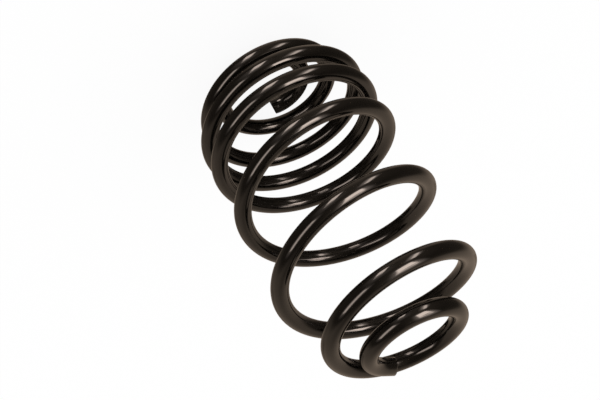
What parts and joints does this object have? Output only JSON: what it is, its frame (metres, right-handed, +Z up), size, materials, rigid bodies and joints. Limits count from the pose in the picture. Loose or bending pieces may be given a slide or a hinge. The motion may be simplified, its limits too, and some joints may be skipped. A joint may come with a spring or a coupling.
{
  "type": "suspension spring",
  "caption": "Barrel-shaped coil spring of constant round bar, right-hand wound with a varying pitch, with small flat wound ends and sheared tips, in glossy black paint.",
  "frame": {"origin": "on the coil's axis, in the plane that the lower end rests on", "axes": "+Z up along the coil's axis from the lower to the upper end; +X from the axis to the lower sheared end"},
  "size_m": [0.134, 0.134, 0.2449],
  "materials": {
    "black_paint": "gloss"
  },
  "bodies": {
    "root": {"coil_spring": "black_paint"}
  },
  "joints": []
}
